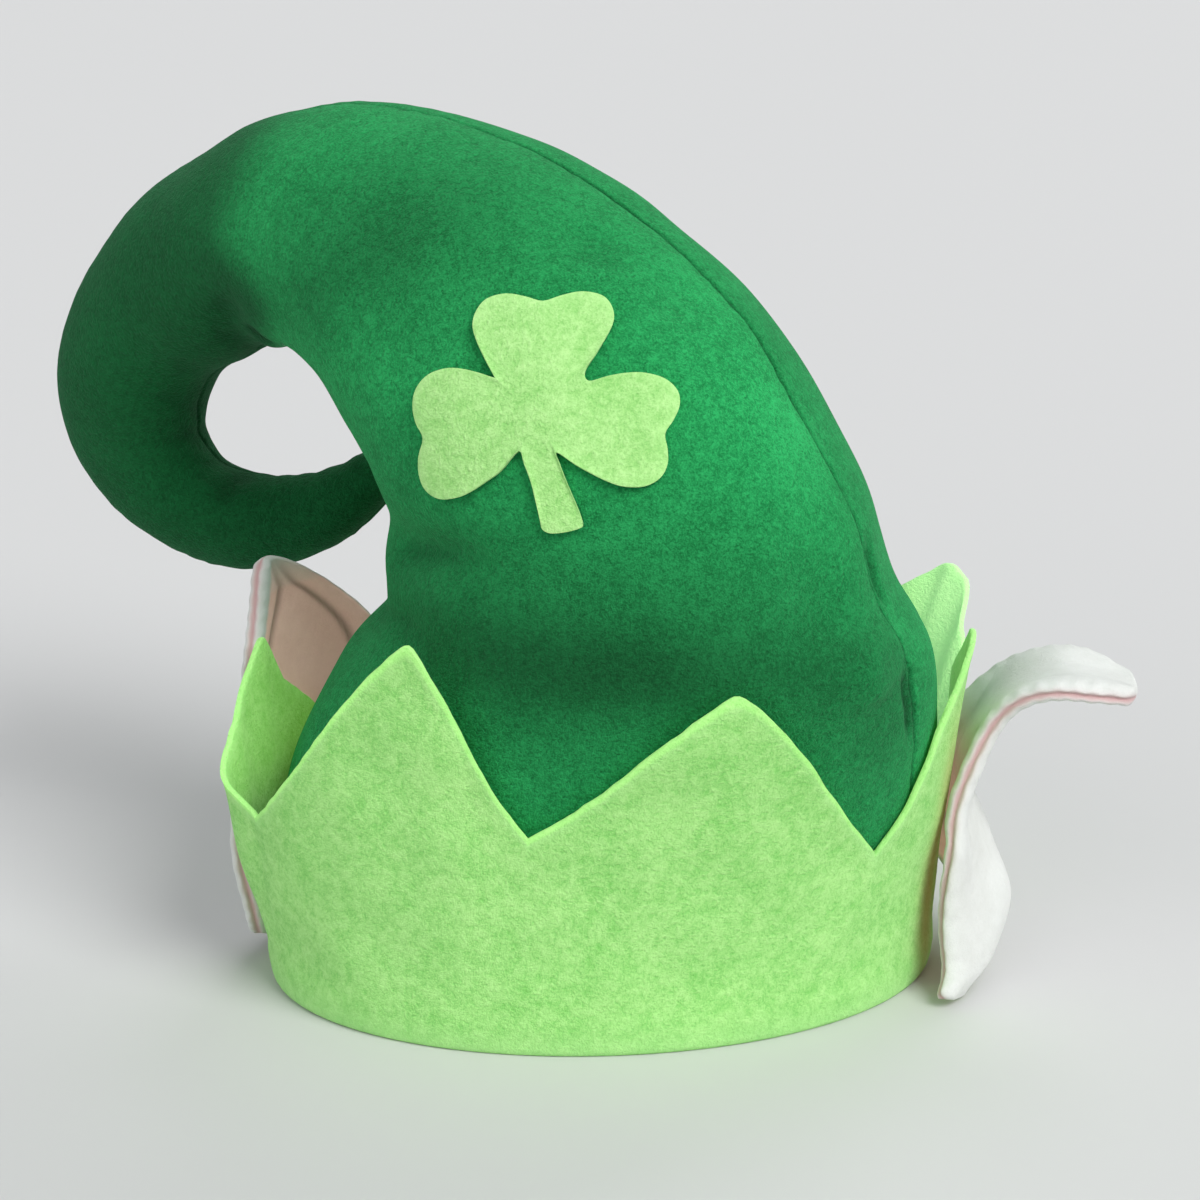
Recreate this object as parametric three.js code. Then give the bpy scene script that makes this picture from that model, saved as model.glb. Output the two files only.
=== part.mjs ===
// A leprechaun hat of sewn felt that stands on its rim, in millimetres, +Z up.
// The shamrock faces -Y. The crown's tip arches over to -X and curls back behind the crown.
import * as THREE from 'three';

// Cloth
const FELT = 2;                 // one layer of felt
const CLOTH_GAP = 0.5;          // clearance between layers that lie on each other
const HEM_GAP = 1.2;            // clearance between the crown and the leg turned up inside it
const SEAM_GAP = 0.3;           // clearance between the two panels of the crown

// Rim and band
const RIM_WIDTH = 226;          // over the band's foot, left to right
const RIM_DEPTH = 162;          // over the band's foot, front to back
const BAND_HEIGHT = 141;        // to the tip of the tallest tooth
const BAND_FLARE = 20;          // how far the loosest tooth leans away from the crown
const HEM_TURN = 14;            // height of the band's leg that is turned up inside the rim
const ROLL_RADIUS = 4;          // height at which the fold under the rim runs out

// Crown
const ARCH_HEIGHT = 243;        // to the middle of the tube at the top of the arch
const CURL_REACH = 198;         // from the hat's middle to the middle of the tube at its far left
const TAIL_SETBACK = 50;        // how far the tip is pushed behind the crown's own plane
const CROWN_TURN = 33;          // degrees by which that plane swings its left side backwards
const SHOULDER = 220;           // height at which the oval of the crown has turned into that plane

// The band's wall, as shares of its height: where it bulges and how sharply its top edge leans out
const BULGE_AT = 0.6;
const BULGE_SPREAD = 0.3;
const BULGE_START = 0.33;       // below this share the bulge dies out
const FLARE_CURVE = 3;          // power of the height that the flare follows

// Ears
const EAR_LENGTH = 165;         // from the lobe to the tip, along the ear
const EAR_WIDTH = 78;           // over the widest part
const EAR_RIM = 7;              // thickness of the puffy edge
const EAR_MIDDLE = 4.4;         // thickness inside the stitched line
const EAR_RIM_WIDTH = 11;       // from the edge to the stitched line
const EAR_SEAT = 52;            // height up to which the ears are sewn to the band

// Shamrock
const SHAMROCK_REACH = 41.5;    // from its middle to the round of a leaf
const SHAMROCK_FELT = 1.6;
const SHAMROCK_LIFT = 0.6;      // clearance between it and the crown
const SHAMROCK_ROW = 7.7;       // its middle, as a place in CROWN_ROWS
const SHAMROCK_ROUND = 71.5;    // and as an angle from the outer seam over the front
const SHAMROCK_TILT = 2;        // degrees by which it leans to the left

// Sections of the crown from the hem up, over the arch and round the curl to the tip.
// across and up place the middle (shares of CURL_REACH and ARCH_HEIGHT), tilt turns the section
// (degrees), width and depth are its half axes (shares of the hem's), back is a share of TAIL_SETBACK.
const CROWN_ROWS = [
  { across: 0.000, up: 0.000, tilt: 0, width: 1.000, depth: 1.000, back: 0.00 },
  { across: 0.000, up: 0.135, tilt: 2, width: 1.000, depth: 1.000, back: 0.00 },
  { across: 0.029, up: 0.320, tilt: 3, width: 0.975, depth: 0.985, back: -0.06 },
  { across: 0.069, up: 0.450, tilt: 2, width: 0.895, depth: 0.970, back: -0.09 },
  { across: 0.089, up: 0.515, tilt: 1, width: 0.822, depth: 0.960, back: -0.09 },
  { across: 0.075, up: 0.588, tilt: -1, width: 0.766, depth: 0.950, back: -0.09 },
  { across: 0.051, up: 0.680, tilt: 3, width: 0.720, depth: 0.930, back: -0.09 },
  { across: -0.014, up: 0.774, tilt: 7, width: 0.705, depth: 0.890, back: -0.09 },
  { across: -0.087, up: 0.854, tilt: 12, width: 0.684, depth: 0.840, back: -0.06 },
  { across: -0.176, up: 0.919, tilt: 19, width: 0.634, depth: 0.770, back: -0.01 },
  { across: -0.291, up: 0.969, tilt: 31, width: 0.556, depth: 0.700, back: 0.06 },
  { across: -0.408, up: 0.994, tilt: 47, width: 0.482, depth: 0.620, back: 0.12 },
  { across: -0.569, up: 0.999, tilt: 72, width: 0.408, depth: 0.548, back: 0.19 },
  { across: -0.689, up: 0.972, tilt: 90, width: 0.355, depth: 0.494, back: 0.23 },
  { across: -0.789, up: 0.925, tilt: 106, width: 0.313, depth: 0.444, back: 0.27 },
  { across: -0.889, up: 0.862, tilt: 121, width: 0.282, depth: 0.395, back: 0.31 },
  { across: -0.954, up: 0.782, tilt: 140, width: 0.263, depth: 0.355, back: 0.35 },
  { across: -0.989, up: 0.694, tilt: 162, width: 0.249, depth: 0.326, back: 0.39 },
  { across: -0.979, up: 0.626, tilt: 180, width: 0.234, depth: 0.296, back: 0.43 },
  { across: -0.942, up: 0.576, tilt: 198, width: 0.204, depth: 0.267, back: 0.47 },
  { across: -0.885, up: 0.542, tilt: 220, width: 0.182, depth: 0.242, back: 0.51 },
  { across: -0.814, up: 0.521, tilt: 243, width: 0.167, depth: 0.217, back: 0.57 },
  { across: -0.739, up: 0.519, tilt: 263, width: 0.152, depth: 0.197, back: 0.63 },
  { across: -0.664, up: 0.537, tilt: 279, width: 0.130, depth: 0.178, back: 0.69 },
  { across: -0.589, up: 0.571, tilt: 289, width: 0.105, depth: 0.153, back: 0.75 },
  { across: -0.514, up: 0.621, tilt: 301, width: 0.073, depth: 0.109, back: 0.84 },
  { across: -0.444, up: 0.671, tilt: 311, width: 0.029, depth: 0.044, back: 0.91 },
];

// Creases and hollows of the crown. row is a place in CROWN_ROWS, round an angle on the section
// (degrees from the outer seam over the front), length runs in rows, spread in degrees, depth in mm.
const CROWN_DENTS = [
  { row: 4.4, round: 172, length: 0.5, spread: 26, depth: 5 },
  { row: 5.7, round: 118, length: 0.45, spread: 30, depth: 4 },
  { row: 5.3, round: 22, length: 0.7, spread: 9, depth: 3 },
  { row: 12.6, round: 150, length: 0.6, spread: 34, depth: 3 },
  { row: 11.2, round: 88, length: 0.8, spread: 22, depth: -2 },
];

// Teeth, notches and bends of the band's edge, from the back left. turn is the angle from the front
// (degrees, + to the right), top a share of BAND_HEIGHT, bulge and flare shares of BAND_FLARE:
// how far the wall stands off the crown half way up and at its top edge.
const BAND_ROWS = [
  { turn: -136, top: 0.47, bulge: 0.05, flare: 0.15 },
  { turn: -116, top: 0.66, bulge: 0.05, flare: 0.20 },
  { turn: -109, top: 0.80, bulge: 0.05, flare: 0.30 },
  { turn: -96, top: 0.66, bulge: 0.20, flare: 0.45 },
  { turn: -84, top: 0.545, bulge: 0.35, flare: 0.75 },
  { turn: -75, top: 0.47, bulge: 0.15, flare: 0.40 },
  { turn: -37, top: 0.99, bulge: 0.05, flare: 0.15 },
  { turn: -17, top: 0.54, bulge: 0.00, flare: 0.05 },
  { turn: 14, top: 0.91, bulge: 0.05, flare: 0.15 },
  { turn: 44, top: 0.42, bulge: 0.00, flare: 0.05 },
  { turn: 60, top: 0.66, bulge: 0.05, flare: 0.00 },
  { turn: 75, top: 0.88, bulge: 0.05, flare: 0.38 },
  { turn: 84, top: 0.74, bulge: 0.05, flare: 0.27 },
  { turn: 92, top: 0.52, bulge: 0.05, flare: 0.40 },
  { turn: 99, top: 0.76, bulge: 0.05, flare: 0.75 },
  { turn: 104, top: 0.87, bulge: 0.05, flare: 1.05 },
  { turn: 108, top: 0.91, bulge: 0.05, flare: 0.97 },
  { turn: 116, top: 0.83, bulge: 0.05, flare: 0.55 },
  { turn: 133, top: 0.50, bulge: 0.05, flare: 0.15 },
  { turn: 156, top: 0.90, bulge: 0.05, flare: 0.25 },
  { turn: 179, top: 0.48, bulge: 0.05, flare: 0.10 },
  { turn: 202, top: 0.92, bulge: 0.05, flare: 0.25 },
];

// Sections of the ears from lobe to tip. turn is the hat angle of the section's middle, rise its
// height (share of EAR_LENGTH). The rest are shares of EAR_WIDTH: out is how far its edges stand off
// the band's wall, width its breadth, and cup how much further off its middle stands.
const LEFT_EAR_ROWS = [
  { turn: -109, rise: 0.035, out: 0.065, width: 0.28, cup: 0.00 },
  { turn: -110, rise: 0.100, out: 0.060, width: 0.56, cup: 0.00 },
  { turn: -113, rise: 0.220, out: 0.060, width: 0.76, cup: 0.00 },
  { turn: -119, rise: 0.360, out: 0.060, width: 0.84, cup: 0.00 },
  { turn: -124, rise: 0.490, out: 0.080, width: 0.88, cup: 0.00 },
  { turn: -127, rise: 0.600, out: 0.120, width: 0.73, cup: 0.00 },
  { turn: -126, rise: 0.700, out: 0.150, width: 0.45, cup: 0.00 },
  { turn: -121, rise: 0.800, out: 0.170, width: 0.12, cup: 0.00 },
];
const RIGHT_EAR_ROWS = [
  { turn: 58, rise: 0.020, out: 0.20, width: 0.16, cup: 0.02 },
  { turn: 72, rise: 0.070, out: 0.17, width: 0.50, cup: 0.10 },
  { turn: 83, rise: 0.150, out: 0.14, width: 0.84, cup: 0.17 },
  { turn: 86, rise: 0.250, out: 0.12, width: 0.88, cup: 0.09 },
  { turn: 86, rise: 0.360, out: 0.09, width: 0.76, cup: 0.00 },
  { turn: 85, rise: 0.460, out: 0.13, width: 0.62, cup: 0.00 },
  { turn: 84, rise: 0.545, out: 0.22, width: 0.48, cup: 0.00 },
  { turn: 83, rise: 0.600, out: 0.34, width: 0.42, cup: 0.00 },
  { turn: 82, rise: 0.625, out: 0.49, width: 0.36, cup: 0.00 },
  { turn: 82, rise: 0.617, out: 0.65, width: 0.30, cup: 0.00 },
  { turn: 81, rise: 0.597, out: 0.81, width: 0.16, cup: 0.00 },
];

// The fold under the rim, as shares of ROLL_RADIUS: its corner point's place and the flat's, from the
// wall, and the corner point's height. The channel inside it slopes over a share of its width.
const FOLD_SHAPE = [0.2, 0.55, 0.3];
const CHANNEL_SLOPE = 0.2;

// The cross section of an ear's rolled edge, from its outer edge inwards. in is a share of the rim's
// width, thick a share of its full thickness.
const EAR_ROLL = [
  { in: 0.00, thick: 0.35 },
  { in: 0.30, thick: 1.00 },
  { in: 0.75, thick: 1.00 },
];
const EAR_NARROWEST = { rim: 0.8, thick: 0.6 };  // on a narrow section, shares of its half breadth

// How finely the curved pieces are divided
const WALL_SHARES = [0.15, 0.35, 0.6, 0.82, 1];  // heights of the band's rings above the fold
const CROWN_SECTIONS = 40;
const PANEL_POINTS = 17;
const COLUMN_STEP = 4.5;        // most degrees between two columns of the band
const SWELL_STEPS = 6;
const BAND_REACH = 5;           // row of the crown that is above every tooth
const HALVINGS = 14;            // steps that find a height on the crown's skin
const BREADTH_STEP = 1;         // mm to each side from which the way across an ear is taken
const ROW_STEP = 0.1;           // rows to each side from which an ear's slope is taken
const SEARCH_STEPS = 15;        // rounds that find the skin behind a point of the shamrock
const PLACE_STEP = 0.01;        // small steps along and round the crown, in rows and degrees
const ROUND_STEP = 0.1;
const EAR_SECTIONS = 16;
const SHAMROCK_RINGS = 4;

const HEM_HALF_WIDTH = RIM_WIDTH / 2 - FELT - CLOTH_GAP;
const HEM_HALF_DEPTH = RIM_DEPTH / 2 - FELT - CLOTH_GAP;
const CROWN_FOOT = ROLL_RADIUS + SEAM_GAP;

const rad = (degrees) => THREE.MathUtils.degToRad(degrees);
const bell = (x) => Math.exp(-x * x);
const smooth = (x) => THREE.MathUtils.smoothstep(x, 0, 1);

// A row between the rows of a table, on a curve through all of them.
function rowAt(rows, place) {
  const start = Math.min(Math.floor(place), rows.length - 2);
  const part = place - start;
  const pick = (i) => rows[THREE.MathUtils.clamp(i, 0, rows.length - 1)];
  const four = [pick(start - 1), pick(start), pick(start + 1), pick(start + 2)];
  const row = {};
  for (const key of Object.keys(four[1])) {
    const [a, b, c, d] = four.map((r) => r[key]);
    const slopeIn = (c - a) / 2;
    const slopeOut = (d - b) / 2;
    const turn = 3 * (c - b) - 2 * slopeIn - slopeOut;
    const end = 2 * (b - c) + slopeIn + slopeOut;
    row[key] = b + part * (slopeIn + part * (turn + part * end));
  }
  return row;
}

// A closed solid through rings of points. Ends are closed by pairing the first point of a ring with
// its last, and a looped loft joins its last ring to its first.
function loft(rings, looped = false) {
  const count = rings[0].length;
  const index = [];
  const quad = (a, b, c, d) => index.push(a, b, c, a, c, d);
  const bands = looped ? rings.length : rings.length - 1;
  for (let i = 0; i < bands; i++) {
    const here = i * count;
    const next = ((i + 1) % rings.length) * count;
    for (let j = 0; j < count; j++) {
      const k = (j + 1) % count;
      quad(here + j, here + k, next + k, next + j);
    }
  }
  if (!looped) {
    const last = (rings.length - 1) * count;
    for (let j = 0; j < count / 2 - 1; j++) {
      quad(count - 1 - j, count - 2 - j, j + 1, j);
      quad(last + j, last + j + 1, last + count - 2 - j, last + count - 1 - j);
    }
  }
  return solid(rings.flat(), index);
}

// A geometry from points and triangles, with its faces turned outwards.
function solid(points, index) {
  let volume = 0;
  for (let i = 0; i < index.length; i += 3) {
    const [a, b, c] = [points[index[i]], points[index[i + 1]], points[index[i + 2]]];
    volume += a.dot(b.clone().cross(c));
  }
  const faces = volume < 0 ? index.slice().reverse() : index;
  const geometry = new THREE.BufferGeometry().setFromPoints(points);
  geometry.setIndex(faces);
  return geometry;
}

// The crown's section at a place in CROWN_ROWS: its middle, the directions of its half axes, their
// lengths and how far the seams have slipped round it. front points to the shamrock's side.
function crownSection(place) {
  const row = rowAt(CROWN_ROWS, place);
  const height = CROWN_FOOT + row.up * (ARCH_HEIGHT - CROWN_FOOT);
  const turned = CROWN_TURN * smooth(height / SHOULDER);
  const plane = rad(-CROWN_TURN);
  const oval = rad(-turned);
  const tilt = rad(row.tilt);
  const middle = new THREE.Vector3(Math.cos(plane), Math.sin(plane), 0)
    .multiplyScalar(row.across * CURL_REACH);
  middle.add(new THREE.Vector3(-Math.sin(plane), Math.cos(plane), 0)
    .multiplyScalar(row.back * TAIL_SETBACK));
  middle.z = height;
  return {
    middle,
    outer: new THREE.Vector3(
      Math.cos(oval) * Math.cos(tilt), Math.sin(oval) * Math.cos(tilt), Math.sin(tilt)),
    front: new THREE.Vector3(Math.sin(oval), -Math.cos(oval), 0),
    width: row.width * HEM_HALF_WIDTH,
    depth: row.depth * HEM_HALF_DEPTH,
    slip: CROWN_TURN - turned,
  };
}

// A point of the crown's skin. round is the angle from the outer seam over the front, inset the
// distance inwards from the outer skin.
function crownPoint(place, round, inset = 0) {
  const section = crownSection(place);
  const angle = rad(round + section.slip);
  let sunk = inset;
  for (const dent of CROWN_DENTS) {
    const off = (round - dent.round) / dent.spread;
    sunk += dent.depth * bell((place - dent.row) / dent.length) * bell(off);
  }
  const width = Math.max(section.width - sunk, FELT / 4);
  const depth = Math.max(section.depth - sunk, FELT / 4);
  return section.middle.clone()
    .addScaledVector(section.outer, width * Math.cos(angle))
    .addScaledVector(section.front, depth * Math.sin(angle));
}

// One of the crown's two panels: the front one spans 0 to 180 degrees, the back one 180 to 360.
function crownPanel(start) {
  const rings = [];
  for (let i = 0; i < CROWN_SECTIONS; i++) {
    const place = (i / (CROWN_SECTIONS - 1)) * (CROWN_ROWS.length - 1);
    const section = crownSection(place);
    const middleOfPanel = rad(start + 90 + section.slip);
    const away = section.outer.clone().multiplyScalar(Math.cos(middleOfPanel))
      .addScaledVector(section.front, Math.sin(middleOfPanel))
      .setLength(SEAM_GAP / 2);
    const ring = [];
    for (let j = 0; j < PANEL_POINTS; j++) {
      ring.push(crownPoint(place, start + (180 * j) / (PANEL_POINTS - 1)).add(away));
    }
    for (let j = PANEL_POINTS - 1; j >= 0; j--) {
      ring.push(crownPoint(place, start + (180 * j) / (PANEL_POINTS - 1), FELT).add(away));
    }
    rings.push(ring);
  }
  return loft(rings);
}

// The way out from the rim at a hat angle.
function rimOut(turn) {
  return new THREE.Vector3(
    Math.sin(rad(turn)) * RIM_DEPTH, -Math.cos(rad(turn)) * RIM_WIDTH, 0).normalize();
}

// A point at a distance out from the band's foot at a hat angle, at a height.
function rimPoint(turn, out, height) {
  return new THREE.Vector3(
    Math.sin(rad(turn)) * RIM_WIDTH / 2, -Math.cos(rad(turn)) * RIM_DEPTH / 2, height)
    .addScaledVector(rimOut(turn), out);
}

// How far the crown's skin stands outside its hem, at a hat angle and a height. The place on the
// skin at that height is found by halving the stretch of rows that the band can reach.
function crownSwell(turn, height) {
  const section = crownSection(0);
  const round = 90 - turn - section.slip;
  let low = 0;
  let high = BAND_REACH;
  for (let i = 0; i < HALVINGS; i++) {
    const middle = (low + high) / 2;
    if (crownPoint(middle, round).z < height) {
      low = middle;
    } else {
      high = middle;
    }
  }
  const foot = rimPoint(turn, -FELT - CLOTH_GAP, 0);
  return crownPoint(low, round).sub(foot).dot(rimOut(turn));
}

// How far the band's outer face stands outside its foot. It clears the widest part of the crown
// below each height, with the bulge and flare of the teeth added.
function bandOut(column, height) {
  const share = height / (column.top * BAND_HEIGHT);
  let swell = 0;
  for (let step = 1; step <= SWELL_STEPS; step++) {
    swell = Math.max(swell, crownSwell(column.turn, (height * step) / SWELL_STEPS));
  }
  const bulged = bell((share - BULGE_AT) / BULGE_SPREAD) * smooth(share / BULGE_START);
  const loose = column.bulge * bulged + column.flare * share ** FLARE_CURVE;
  return swell + loose * BAND_FLARE;
}

// The band at any hat angle: a straight edge from row to row, soft changes of bulge and flare.
function bandColumn(turn) {
  const first = BAND_ROWS[0].turn;
  const wrapped = first + THREE.MathUtils.euclideanModulo(turn - first, 360);
  const ends = [...BAND_ROWS, { ...BAND_ROWS[0], turn: first + 360 }];
  const next = ends.findIndex((row) => row.turn > wrapped + 1e-9);
  const [from, to] = [ends[next - 1], ends[next]];
  const part = (wrapped - from.turn) / (to.turn - from.turn);
  return {
    turn: wrapped,
    top: THREE.MathUtils.lerp(from.top, to.top, part),
    bulge: THREE.MathUtils.lerp(from.bulge, to.bulge, smooth(part)),
    flare: THREE.MathUtils.lerp(from.flare, to.flare, smooth(part)),
  };
}

// The columns that the band is built from, with one at each row of the table.
function bandColumns() {
  const columns = [];
  BAND_ROWS.forEach((row, i) => {
    const end = i + 1 < BAND_ROWS.length ? BAND_ROWS[i + 1].turn : BAND_ROWS[0].turn + 360;
    const count = Math.ceil((end - row.turn) / COLUMN_STEP);
    for (let k = 0; k < count; k++) {
      columns.push(bandColumn(THREE.MathUtils.lerp(row.turn, end, k / count)));
    }
  });
  return columns;
}

// The band: one strip of felt that runs from a leg inside the rim, round the fold that the hat
// stands on, and up outside the crown to the toothed edge.
function bandSolid() {
  const channel = FELT + CLOTH_GAP + HEM_GAP;
  const inside = -2 * FELT - channel;
  const [near, flat, corner] = FOLD_SHAPE.map((share) => share * ROLL_RADIUS);
  const slope = CHANNEL_SLOPE * channel;
  const rings = bandColumns().map((column) => {
    const tall = column.top * BAND_HEIGHT;
    const wall = WALL_SHARES.map((share) => {
      const height = ROLL_RADIUS + share * (tall - ROLL_RADIUS);
      return [bandOut(column, height), height];
    });
    const profile = [
      [inside, HEM_TURN],
      [inside, ROLL_RADIUS],
      [inside + near, corner],
      [inside + flat, 0],
      [-flat, 0],
      [-near, corner],
      [0, ROLL_RADIUS],
      ...wall,
      ...wall.map(([out, height]) => [out - FELT, height]).reverse(),
      [-FELT, ROLL_RADIUS],
      [-FELT - slope, FELT],
      [-FELT - channel + slope, FELT],
      [-FELT - channel, ROLL_RADIUS],
      [-FELT - channel, HEM_TURN],
    ];
    return profile.map(([out, height]) => rimPoint(column.turn, out, height));
  });
  return loft(rings, true);
}

// A point on the middle surface of an ear, across its breadth from front to rear. The ear lies
// round the rim as the band does.
function earPoint(row, across) {
  const perDegree = rimPoint(row.turn + 0.5, 0, 0).distanceTo(rimPoint(row.turn - 0.5, 0, 0));
  const turn = row.turn + (Math.sign(row.turn) * across) / perDegree;
  const height = row.rise * EAR_LENGTH;
  const cup = row.cup * (1 - (across / (row.width * EAR_WIDTH / 2)) ** 2);
  const face = bandOut(bandColumn(turn), Math.min(height, EAR_SEAT));
  return rimPoint(turn, face + (row.out + cup) * EAR_WIDTH, height);
}

// An ear: two layers sewn together round the edge and turned, so that the rim is puffy.
function earSolid(rows) {
  const rings = [];
  const last = rows.length - 1;
  for (let i = 0; i < EAR_SECTIONS; i++) {
    const place = (i / (EAR_SECTIONS - 1)) * last;
    const row = rowAt(rows, place);
    const before = rowAt(rows, Math.max(place - ROW_STEP, 0));
    const after = rowAt(rows, Math.min(place + ROW_STEP, last));
    const front = [];
    const back = [];
    for (const [across, thick] of earOutline(row.width * EAR_WIDTH)) {
      const middle = earPoint(row, across);
      const rise = earPoint(after, across).sub(earPoint(before, across));
      const breadth = earPoint(row, across + BREADTH_STEP).sub(earPoint(row, across - BREADTH_STEP));
      const facing = breadth.cross(rise).normalize();
      front.push(middle.clone().addScaledVector(facing, thick));
      back.unshift(middle.clone().addScaledVector(facing, -thick));
    }
    rings.push([...front, ...back]);
  }
  return loft(rings);
}

// Half the thickness of an ear across its breadth: thick at its two edges, thin between.
function earOutline(width) {
  const half = width / 2;
  const rim = Math.min(EAR_RIM_WIDTH, half * EAR_NARROWEST.rim);
  const full = Math.min(EAR_RIM / 2, half * EAR_NARROWEST.thick);
  const thin = Math.min(EAR_MIDDLE / 2, full);
  const roll = EAR_ROLL.map((step) => [half - step.in * rim, step.thick * full]);
  const edge = [...roll, [half - rim, thin]];
  const other = edge.map(([across, thick]) => [-across, thick]);
  return [...other, [0, thin], ...edge.reverse()];
}

// The shamrock's outline seen from its middle: angles in degrees from straight up (+ to the right)
// and reach as a share of SHAMROCK_REACH. A leaf's half edge is mirrored about its own axis. spread
// widens its angles, reach lengthens it, and notch is the reach in the dip at its end.
const TOP_LEAF = [
  { off: 45, reach: 0.47 },
  { off: 41, reach: 0.62 },
  { off: 38, reach: 0.77 },
  { off: 35, reach: 0.89 },
  { off: 30, reach: 0.97 },
  { off: 24, reach: 1.01 },
  { off: 16, reach: 0.99 },
  { off: 8, reach: 0.93 },
];
const SIDE_LEAF = [
  { off: 47, reach: 0.46 },
  { off: 42, reach: 0.59 },
  { off: 38, reach: 0.72 },
  { off: 34, reach: 0.83 },
  { off: 28, reach: 0.94 },
  { off: 21, reach: 1.00 },
  { off: 14, reach: 1.00 },
  { off: 7, reach: 0.96 },
];
const LEAVES = [
  { edge: TOP_LEAF, axis: -4, spread: 1.00, reach: 1.01, notch: 0.89 },
  { edge: SIDE_LEAF, axis: 94, spread: 0.93, reach: 0.98, notch: 0.90 },
  { edge: SIDE_LEAF, axis: 262, spread: 1.02, reach: 1.00, notch: 0.90 },
];
// The stalk, from the right leaf round its foot to the left leaf
const STALK_EDGE = [
  { angle: 147, reach: 0.29 },
  { angle: 150.5, reach: 0.37 },
  { angle: 152.5, reach: 0.57 },
  { angle: 153, reach: 0.73 },
  { angle: 154, reach: 0.84 },
  { angle: 156.5, reach: 0.86 },
  { angle: 164, reach: 0.85 },
  { angle: 171, reach: 0.835 },
  { angle: 175, reach: 0.80 },
  { angle: 176, reach: 0.74 },
  { angle: 178.5, reach: 0.60 },
  { angle: 183, reach: 0.46 },
  { angle: 194, reach: 0.335 },
  { angle: 208, reach: 0.27 },
];

// The outline as points across and up from its middle, clockwise.
function shamrockOutline() {
  const half = (leaf, side) => leaf.edge.map((step) => (
    { angle: leaf.axis + side * step.off * leaf.spread, reach: step.reach * leaf.reach }
  ));
  const leaf = (one) => [
    ...half(one, -1),
    { angle: one.axis, reach: one.notch },
    ...half(one, 1).reverse(),
  ];
  const edge = [...leaf(LEAVES[0]), ...leaf(LEAVES[1]), ...STALK_EDGE, ...leaf(LEAVES[2])];
  return edge.map(({ angle, reach }) => [
    Math.sin(rad(angle)) * reach * SHAMROCK_REACH,
    Math.cos(rad(angle)) * reach * SHAMROCK_REACH,
  ]);
}

// The shamrock: one cut layer of felt sewn flat on the crown, so it bends with the crown's front.
function shamrockSolid() {
  const at = shamrockPlace();
  const outline = shamrockOutline();
  const count = outline.length;
  const layers = [SHAMROCK_LIFT, SHAMROCK_LIFT + SHAMROCK_FELT].map((lift) => {
    const points = [at(0, 0, lift)];
    for (let ring = 1; ring <= SHAMROCK_RINGS; ring++) {
      const share = ring / SHAMROCK_RINGS;
      points.push(...outline.map(([across, up]) => at(across * share, up * share, lift)));
    }
    return points;
  });
  const index = [];
  const size = layers[0].length;
  const edge = 1 + (SHAMROCK_RINGS - 1) * count;
  for (let i = 0; i < count; i++) {
    const k = (i + 1) % count;
    index.push(0, 1 + k, 1 + i, size, size + 1 + i, size + 1 + k);
    for (let ring = 1; ring < SHAMROCK_RINGS; ring++) {
      const here = 1 + (ring - 1) * count;
      const next = here + count;
      index.push(here + i, here + k, next + k, here + i, next + k, next + i);
      index.push(size + here + i, size + next + k, size + here + k);
      index.push(size + here + i, size + next + i, size + next + k);
    }
    index.push(edge + i, edge + k, size + edge + k, edge + i, size + edge + k, size + edge + i);
  }
  return solid(layers.flat(), index);
}

// A function from the shamrock's own flat outline to the crown's front: it looks for the skin
// point that lies straight behind each point of the outline.
function shamrockPlace() {
  const centre = crownPoint(SHAMROCK_ROW, SHAMROCK_ROUND);
  const facing = skinNormal(SHAMROCK_ROW, SHAMROCK_ROUND);
  const level = new THREE.Vector3(-facing.y, facing.x, 0).normalize();
  const right = level.clone().applyAxisAngle(facing, rad(SHAMROCK_TILT));
  const above = facing.clone().cross(right);
  return (across, up, lift) => {
    const wanted = centre.clone().addScaledVector(right, across).addScaledVector(above, up);
    const miss = (place, round) => {
      const off = crownPoint(place, round).sub(wanted);
      return [off.dot(right), off.dot(above)];
    };
    let place = SHAMROCK_ROW;
    let round = SHAMROCK_ROUND;
    for (let i = 0; i < SEARCH_STEPS; i++) {
      const here = miss(place, round);
      const byPlace = miss(place + PLACE_STEP, round).map((v, n) => (v - here[n]) / PLACE_STEP);
      const byRound = miss(place, round + ROUND_STEP).map((v, n) => (v - here[n]) / ROUND_STEP);
      const det = byPlace[0] * byRound[1] - byPlace[1] * byRound[0];
      place -= (here[0] * byRound[1] - here[1] * byRound[0]) / det;
      round -= (byPlace[0] * here[1] - byPlace[1] * here[0]) / det;
    }
    return crownPoint(place, round).addScaledVector(skinNormal(place, round), lift);
  };
}

// The way out of the crown's front at a point of its skin.
function skinNormal(place, round) {
  const skin = crownPoint(place, round);
  const along = crownPoint(place + PLACE_STEP, round).sub(skin);
  const around = crownPoint(place, round + ROUND_STEP).sub(skin);
  const normal = around.cross(along).normalize();
  return normal.dot(skin.sub(crownSection(place).middle)) < 0 ? normal.negate() : normal;
}

const darkFelt = new THREE.MeshStandardMaterial({ color: 0x0f6e37, roughness: 0.95, metalness: 0 });
const lightFelt = new THREE.MeshStandardMaterial({ color: 0x96e17d, roughness: 0.95, metalness: 0 });
const paleFelt = new THREE.MeshStandardMaterial({ color: 0xe9d9d8, roughness: 0.9, metalness: 0 });

function piece(name, geometry, material) {
  const mesh = new THREE.Mesh(geometry, material);
  mesh.name = name;
  return mesh;
}

const hat = new THREE.Group();
hat.add(piece('crown_front', crownPanel(0), darkFelt));
hat.add(piece('crown_back', crownPanel(180), darkFelt));
hat.add(piece('band', bandSolid(), lightFelt));
hat.add(piece('ear_left', earSolid(LEFT_EAR_ROWS), paleFelt));
hat.add(piece('ear_right', earSolid(RIGHT_EAR_ROWS), paleFelt));
hat.add(piece('shamrock', shamrockSolid(), lightFelt));

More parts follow.
